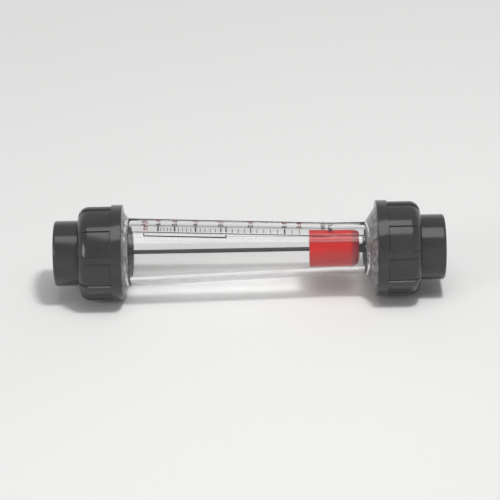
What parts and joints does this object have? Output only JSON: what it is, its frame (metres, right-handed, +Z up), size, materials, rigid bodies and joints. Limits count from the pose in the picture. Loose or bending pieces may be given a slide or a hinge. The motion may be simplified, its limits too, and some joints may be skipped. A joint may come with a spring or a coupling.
{
  "type": "rotameter",
  "caption": "Variable area flow meter: clear tapered tube with a flat scale face, a red float on a guide rod, and union nuts with pipe sockets at both ends.",
  "frame": {"origin": "bottom centre of the bounding box: on the floor under the middle of the meter, which lies on its two union nuts", "axes": "+X along the pipe axis, from the inlet to the outlet; +Z up; the flat scale face is on top"},
  "size_m": [0.465, 0.114, 0.114],
  "materials": {
    "clear_acrylic": "clear moulded acrylic",
    "grey_pvc": "dark grey moulded PVC, satin",
    "float_red": "turned red plastic",
    "nose_red": "turned dark red plastic",
    "stainless_rod": "drawn stainless steel",
    "spring_steel": "phosphated spring steel",
    "white_bush": "white low-friction plastic",
    "black_rubber": "moulded rubber"
  },
  "bodies": {
    "meter": {"metering_tube": "clear_acrylic", "guide_rod": "stainless_rod", "inlet_rod_guide": "grey_pvc", "outlet_rod_guide": "grey_pvc", "inlet_bumper": "black_rubber", "outlet_bumper": "black_rubber", "inlet_rod_nut": "stainless_rod", "outlet_rod_nut": "stainless_rod", "inlet_rod_washer": "stainless_rod", "outlet_rod_washer": "stainless_rod", "inlet_retaining_ring": "spring_steel", "outlet_retaining_ring": "spring_steel"},
    "float": {"float_body": "float_red", "float_nose": "nose_red", "float_weight": "stainless_rod", "float_lower_bush": "white_bush", "float_upper_bush": "white_bush"},
    "inlet_union": {"inlet_connector": "grey_pvc", "inlet_o_ring": "black_rubber"},
    "inlet_nut": {"inlet_union_nut": "grey_pvc"},
    "outlet_union": {"outlet_connector": "grey_pvc", "outlet_o_ring": "black_rubber"},
    "outlet_nut": {"outlet_union_nut": "grey_pvc"}
  },
  "joints": [
    {"name": "float_rise", "type": "slide", "parent": "meter", "child": "float", "axis": [1, 0, 0], "range_m": [0, 0.2119]},
    {"name": "inlet_draw", "type": "slide", "parent": "meter", "child": "inlet_union", "axis": [-1, 0, 0], "range_m": [0, 0.0261]},
    {"name": "inlet_unscrew", "type": "hinge", "parent": "inlet_union", "child": "inlet_nut", "pos_m": [-0.2, 0, 0.057], "axis": [-1, 0, 0], "range_deg": [0, 1560]},
    {"name": "outlet_draw", "type": "slide", "parent": "meter", "child": "outlet_union", "axis": [1, 0, 0], "range_m": [0, 0.0261]},
    {"name": "outlet_unscrew", "type": "hinge", "parent": "outlet_union", "child": "outlet_nut", "pos_m": [0.2, 0, 0.057], "axis": [1, 0, 0], "range_deg": [0, 1560]}
  ],
  "couplings": [
    {"joint": "inlet_draw", "follows": "inlet_unscrew", "m_per_rad": 0.00095493},
    {"joint": "outlet_draw", "follows": "outlet_unscrew", "m_per_rad": 0.00095493}
  ]
}
